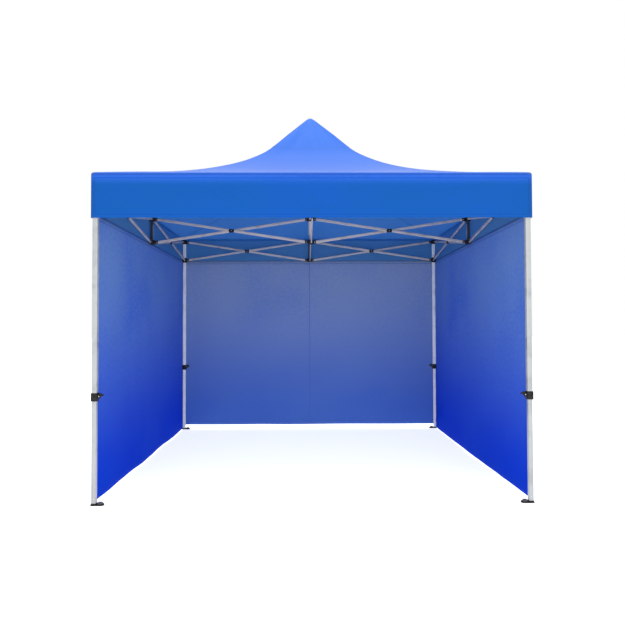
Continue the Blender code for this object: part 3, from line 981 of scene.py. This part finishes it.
def barShape(start, side):
    # A bar along X with its end plugs and, where it crosses its partner, a sleeve, a boss and a rivet.
    outer = 1 if side > 0 else -1  # the face away from the other bar of the truss
    ends = start - barForm["overhang"], start + barLength + barForm["overhang"]
    middle = start + barLength / 2
    face = side + outer * (barForm["width"] / 2 + crossForm["skin"])
    bossTop = face + outer * crossForm["capDepth"]
    low, high = sorted((face, bossTop))
    half, rise = crossForm["capHalf"], crossForm["capRise"]
    boss = block((middle - half, low, -rise), (middle + half, high, rise), crossForm["capRound"])
    rivet = domedRivet((middle, bossTop, 0), (0, outer, 0), crossForm["rivet"], crossForm["rivetHeight"])
    return joined(
        [
            painted(tube(*aroundBar(*ends, side), 0, barForm["corner"], barForm["wall"]), 0),
            painted(barPlug(ends[0], -1, side), 1),
            painted(barPlug(ends[1], 1, side), 1),
            painted(crossSleeve(middle, side), 1),
            painted(boss, 1),
            painted(rivet, 2),
        ]
    )


def addBar(name, matrix, start, side):
    shape = placed(barShape(start, side), matrix)
    addPiece(name + "_tube", shape, [barPaint, blackNylon, zincRivet], name, name)


# One bar of each pair falls from its top pivot, and the other rises across it.
middleX, middleZ = pivotInset + barSpan / 2, (topPivotZ + bottomPivotZ) / 2
falling = Matrix.Translation((pivotInset, 0, topPivotZ)) @ Matrix.Rotation(barTilt, 4, "Y")
rising = Matrix.Translation((middleX, 0, middleZ)) @ Matrix.Rotation(-barTilt, 4, "Y")
for side in outward:
    cross = crossFrame(side)
    addBar(f"{side}_inner_bar_to_top_hub", cross @ falling, 0, -barOffset)
    addBar(f"{side}_inner_bar_to_bottom_hub", cross @ rising, -barLength / 2, barOffset)
    for other in neighbours(side):
        half = halfFrame(side, other)
        addBar(f"{side}_{other}_bar_to_slider", half @ falling, 0, -barOffset)
        addBar(f"{side}_{other}_bar_to_corner", half @ rising, -barLength / 2, barOffset)

print("brackets")
bracketForm = {"round": 0.0012, "rivet": 0.0046, "rivetHeight": 0.0018, "earOut": 0.0093, "hubDepth": 0.0205}


def armRivets(matrix, arms):
    # Zinc heads on both ears of each arm, given as (turn in degrees, side of the bar).
    heads = []
    for angle, side in arms:
        turn = matrix @ Matrix.Rotation(math.radians(angle), 4, "Z")
        for sign in (1, -1):
            at = (pivotInset, side + sign * bracketForm["earOut"], 0)
            head = domedRivet(at, (0, sign, 0), bracketForm["rivet"], bracketForm["rivetHeight"])
            heads.append(placed(head, turn))
    return heads


def addMoulding(node, body, matrix, arms):
    shape = softened(node, bracketForm["round"])
    made = addPiece(node + "_moulding", shape, [blackNylon], body, node)
    addPiece(node + "_rivets", joined(armRivets(matrix, arms)), [zincRivet], body)
    return made


for side in outward:
    sideEnd = crossFrame(side) @ Matrix.Translation((legAxis, 0, 0))
    top, bottom = f"{side}_top_bracket", f"{side}_bottom_bracket"
    topArms = [(180, -barOffset), (90, barOffset), (-90, -barOffset)]
    bottomArms = [(turn, -offset) for turn, offset in topArms]
    addMoulding(top, top, raised(sideEnd, topPivotZ), topArms)
    addMoulding(bottom, bottom, raised(sideEnd, bottomPivotZ), bottomArms)

hubArms = [(turn, barOffset) for turn in (0, 90, 180, 270)]
topHubArms = [(turn, -offset) for turn, offset in hubArms]
topHub = addMoulding("centre_top_hub", "canopy_cover", Matrix.Translation((0, 0, topPivotZ)), topHubArms)
addMoulding("centre_bottom_hub", "bottom_hub", Matrix.Translation((0, 0, bottomPivotZ)), hubArms)
# The mast's guide below the top hub is painted like the bars.
topHub.data.materials.append(barPaint)
for face in topHub.data.polygons:
    if face.center.z < topPivotZ - bracketForm["hubDepth"]:
        face.material_index = 1

print("side struts")
strutForm = {
    "half": 0.0075,
    "foot": 0.021,
    "top": 0.176,
    "corner": 0.002,
    "wall": 0.0011,
    "stopperSkin": 0.0012,
    "stopperHeight": 0.012,
    "stopperCrown": 0.003,
    "stopperRound": 0.0015,
}
strapForm = {
    "width": 0.024,
    "thick": 0.0016,
    "top": 0.019,  # below the top bracket's pivots
    "drop": 0.172,
    "inset": 0.0225,
    "bow": 0.003,
    "rows": 26,
    "loop": 0.12,  # share of its rows in the turned-up end
    "loopRadius": 0.003,
    "loopTail": 0.02,
    "turns": {"front": 0, "back": 0, "left": -90, "right": 90},  # the side straps face the open front
}


def strutShape():
    half, foot, top = strutForm["half"], strutForm["foot"], strutForm["top"]
    post = tube((-half, -half, foot), (half, half, top), 2, strutForm["corner"], strutForm["wall"])
    wide = half + strutForm["stopperSkin"]
    low, high = top - strutForm["stopperHeight"], top + strutForm["stopperCrown"]
    stopper = block((-wide, -wide, low), (wide, wide, high), strutForm["stopperRound"])
    return joined([painted(post, 0), painted(stopper, 1)])


def strapShape():
    # Webbing that hangs beside the strut, its lower end turned up in a loop; X is outwards.
    shape = bmesh.new()
    bmesh.ops.create_grid(shape, x_segments=4, y_segments=strapForm["rows"], size=0.5)
    bmesh.ops.scale(shape, vec=(strapForm["width"], 1, 1), verts=shape.verts)
    loop, radius = strapForm["loop"], strapForm["loopRadius"]
    for vert in shape.verts:
        across, part = vert.co.x, vert.co.y + 0.5
        if part > loop:
            fall = (part - loop) / (1 - loop)
            inward = strapForm["bow"] * math.sin(math.pi * fall)
            height = -strapForm["drop"] * (1 - fall)
        else:
            tail = 1 - part / loop
            bend = math.pi * tail
            inward = radius * (1 - math.cos(bend))
            height = -strapForm["drop"] - radius * math.sin(bend) + strapForm["loopTail"] * tail**2
        vert.co = (-strapForm["inset"] - inward, across, height)
    bmesh.ops.recalc_face_normals(shape, faces=shape.faces)
    bmesh.ops.solidify(shape, geom=shape.faces[:], thickness=strapForm["thick"])
    return shape


for side in outward:
    sideEnd = crossFrame(side) @ Matrix.Translation((legAxis, 0, 0))
    strut = placed(strutShape(), raised(sideEnd, bottomPivotZ))
    addPiece(f"{side}_strut", strut, [barPaint, blackNylon], f"{side}_bottom_bracket")
    turn = Matrix.Rotation(math.radians(strapForm["turns"][side]), 4, "Z")
    strap = placed(strapShape(), raised(sideEnd, topPivotZ - strapForm["top"]) @ turn)
    addPiece(f"{side}_tie_strap", strap, [blackWebbing], f"{side}_top_bracket")

print("mast")
mastForm = {
    "radius": 0.014,
    "wall": 0.0015,
    "collarLow": 0.030,
    "collarHigh": 0.004,
    "collarRadius": 0.0165,
    "collarWall": 0.0024,
    "tipRound": 0.0022,
}
mastLow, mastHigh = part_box("mast_tube")
mast = roundTube(mastLow.z, mastHigh.z, mastForm["radius"], mastForm["wall"])
addPiece("mast", mast, [barPaint], "bottom_hub", "mast_tube")
low, high = mastHigh.z - mastForm["collarLow"], mastHigh.z + mastForm["collarHigh"]
collar = roundTube(low, high, mastForm["collarRadius"], mastForm["collarWall"])
addPiece("mast_collar", collar, [blackNylon], "bottom_hub")
tipRod = softened("mast_tip", mastForm["tipRound"])
addPiece("mast_tip_rod", tipRod, [blackNylon], "mast_tip", "mast_tip")

print("legs")
legForm = {
    "half": 0.0175,
    "corner": 0.0035,
    "lowerHalf": 0.0145,
    "lowerCorner": 0.003,
    "lowerBottom": 0.0105,
    "lowerTop": 1.100,
    "wall": 0.0015,
    "collarTop": 0.745,  # top of the black lock collar
    "cornerBottom": 2.150,  # bottom of the black corner bracket
    "overlap": 0.002,  # of the painted tube into both
    "cut": 0.0004,
    "bracketRound": 0.0010,
    "collarRound": 0.0012,
    "leverRound": 0.0010,
}
rivetForm = {
    "lever": {"radius": 0.0036, "height": 0.0014, "at": (0.029, 0.0094, 0.722)},
    "foot": {"radius": 0.0042, "height": 0.0014, "at": (0, legForm["lowerHalf"], 0.044)},
}
footForm = {
    "thick": 0.010,
    "outer": -0.0205,
    "inner": 0.066,
    "half": 0.0205,
    "innerRound": 0.0195,
    "outerRound": 0.004,
    "edgeRound": 0.0022,
    "bossHalf": 0.0178,
    "bossLow": 0.0098,
    "bossHigh": 0.0150,
    "bossRound": 0.004,
    "bossWall": 0.003,
    "domeAt": (0.040, 0, 0.0095),
    "dome": (0.021, 0.0165, 0.014),
}


def footShape():
    # A pad with a round inner end, a low boss around the tube and a grey dome beside it.
    thick, outer, inner = footForm["thick"], footForm["outer"], footForm["inner"]
    pad = cuboid((outer, -footForm["half"], 0), (inner, footForm["half"], thick))
    innerEnd = [edge for edge in edgesAlong(pad, 2, thick / 2) if edge.verts[0].co.x > 0]
    rounded(pad, innerEnd, footForm["innerRound"], 10)
    outerEnd = [edge for edge in edgesAlong(pad, 2, thick / 2) if edge.verts[0].co.x < 0]
    rounded(pad, outerEnd, footForm["outerRound"], 4)
    rim = [edge for edge in pad.edges if edge.calc_face_angle(0) > math.radians(60)]
    rounded(pad, rim, footForm["edgeRound"], 3)
    half = footForm["bossHalf"]
    low, high = (-half, -half, footForm["bossLow"]), (half, half, footForm["bossHigh"])
    boss = tube(low, high, 2, footForm["bossRound"], footForm["bossWall"])
    dome = bmesh.new()
    bmesh.ops.create_uvsphere(dome, u_segments=28, v_segments=14, radius=1)
    trimmed(dome, (0, 0, 0.02), (0, 0, 1))
    bmesh.ops.scale(dome, vec=footForm["dome"], verts=dome.verts)
    bmesh.ops.translate(dome, vec=footForm["domeAt"], verts=dome.verts)
    return joined([painted(pad, 0), painted(boss, 0), painted(dome, 1)])


def rivetPair(kind, place):
    # A head on each side of a tube or a lug.
    form = rivetForm[kind]
    x, y, z = form["at"]
    heads = [domedRivet((x, sign * y, z), (0, sign, 0), form["radius"], form["height"]) for sign in (1, -1)]
    return [placed(head, place) for head in heads]


def addUpperLeg(name, place, paint):
    body, node = f"{name}_leg", f"{name}_upper_leg"
    half, collarTop, cornerBottom = legForm["half"], legForm["collarTop"], legForm["cornerBottom"]
    low, high = collarTop - legForm["overlap"], cornerBottom + legForm["overlap"]
    upper = tube((-half, -half, low), (half, half, high), 2, legForm["corner"], legForm["wall"])
    addPiece(f"{name}_upper_tube", placed(upper, place), [paint], body, node)
    cornerBracket = softened(node, legForm["bracketRound"], (cornerBottom + legForm["cut"], 1))
    addPiece(f"{name}_corner_bracket", cornerBracket, [blackNylon], body)
    lockCollar = softened(node, legForm["collarRound"], (collarTop - legForm["cut"], -1))
    addPiece(f"{name}_lock_collar", lockCollar, [blackNylon], body)
    heads = armRivets(raised(place, topPivotZ), [(0, -barOffset), (90, barOffset)])
    heads += rivetPair("lever", place)
    addPiece(f"{name}_leg_rivets", joined(heads), [zincRivet], body)


def addLowerLeg(name, place, paint):
    body, half = f"{name}_lower_leg", legForm["lowerHalf"]
    low, high = (-half, -half, legForm["lowerBottom"]), (half, half, legForm["lowerTop"])
    lower = tube(low, high, 2, legForm["lowerCorner"], legForm["wall"])
    addPiece(f"{name}_lower_tube", placed(lower, place), [paint], body, body)
    foot = placed(footShape(), place)
    addPiece(f"{name}_foot_pad", foot, [blackNylon, greyNylon], body)
    addPiece(f"{name}_foot_rivets", joined(rivetPair("foot", place)), [zincRivet], body)


for a, b in corners:
    name, place = f"{a}_{b}", cornerFrame(a, b)
    # Front legs take the darker copy of the leg paint (painted shade), back legs the lighter one (painted
    # light).
    paint = frontLegPaintShaded if a == "front" else rearLegPaintLit
    addUpperLeg(name, place, paint)
    addLowerLeg(name, place, paint)
    slider = f"{name}_slider"
    addMoulding(slider, slider, raised(place, bottomPivotZ), [(0, barOffset), (90, -barOffset)])
    for node in (f"{name}_lock_lever", f"{name}_release_pin"):
        shape = softened(node, legForm["leverRound"])
        addPiece(node + "_moulding", shape, [blackNylon], node, node)

print("floor, light and camera")
stageLook = {
    "floor": (0.90, 0.90, 0.90, 1),
    "floorCloud": (0.92, 0.92, 0.92, 1),
    "floorGlow": 0.75,
    "world": 1.0,
    "top": 260.0,
    "front": 120.0,
}
floorConstants = {
    "Roughness": 0.9,
    "Specular IOR Level": 0.1,
    "Emission Color": (1, 1, 1, 1),
    "Emission Strength": stageLook["floorGlow"],
}
floorMaterial, floorShader, floorStart = newMaterial("paleFloor", floorConstants)
floorGrain = floorStart.objectPlace().noise(3.0, 3.0)
feed(floorShader, {"Base Color": floorGrain.mix(stageLook["floor"], stageLook["floorCloud"])})
floorShape = bmesh.new()
bmesh.ops.create_grid(floorShape, x_segments=1, y_segments=1, size=60)
bmesh.ops.translate(floorShape, vec=(0, 0, -0.001), verts=floorShape.verts)
bake("floor", floorShape, [floorMaterial])

world = bpy.data.worlds.new("paleRoom")
scene.world = world
world.use_nodes = True
background = world.node_tree.nodes["Background"]
background.inputs["Color"].default_value = (1, 1, 1, 1)
background.inputs["Strength"].default_value = stageLook["world"]


def softbox(name, at, target, size, watts):
    light = bpy.data.lights.new(name, "AREA")
    light.shape, light.energy = "RECTANGLE", watts
    light.size, light.size_y = size
    made = bpy.data.objects.new(name, light)
    scene.collection.objects.link(made)
    made.location = at
    made.rotation_euler = (Vector(target) - Vector(at)).to_track_quat("-Z", "Y").to_euler()


softbox("top", (0, -1.0, 7.0), (0, 0, 1.5), (6, 6), stageLook["top"])
softbox("front", (0.5, -9.0, 2.4), (0, 0, 1.2), (6, 3), stageLook["front"])

cameraLook = {"lens": 33.82, "at": (-0.053, -5.408, 1.180), "tilt": 1.42, "roll": -0.18, "yaw": -0.73}
lens = bpy.data.cameras.new("camera")
lens.lens, lens.sensor_width = cameraLook["lens"], 36
camera = bpy.data.objects.new("camera", lens)
scene.collection.objects.link(camera)
camera.location = cameraLook["at"]
yaw = Matrix.Rotation(math.radians(cameraLook["yaw"]), 4, "Z")
tilt = Matrix.Rotation(math.radians(90 + cameraLook["tilt"]), 4, "X")
roll = Matrix.Rotation(math.radians(cameraLook["roll"]), 4, "Z")
camera.rotation_euler = (yaw @ tilt @ roll).to_euler()
scene.camera = camera
scene.view_settings.view_transform = "Standard"

print("done")
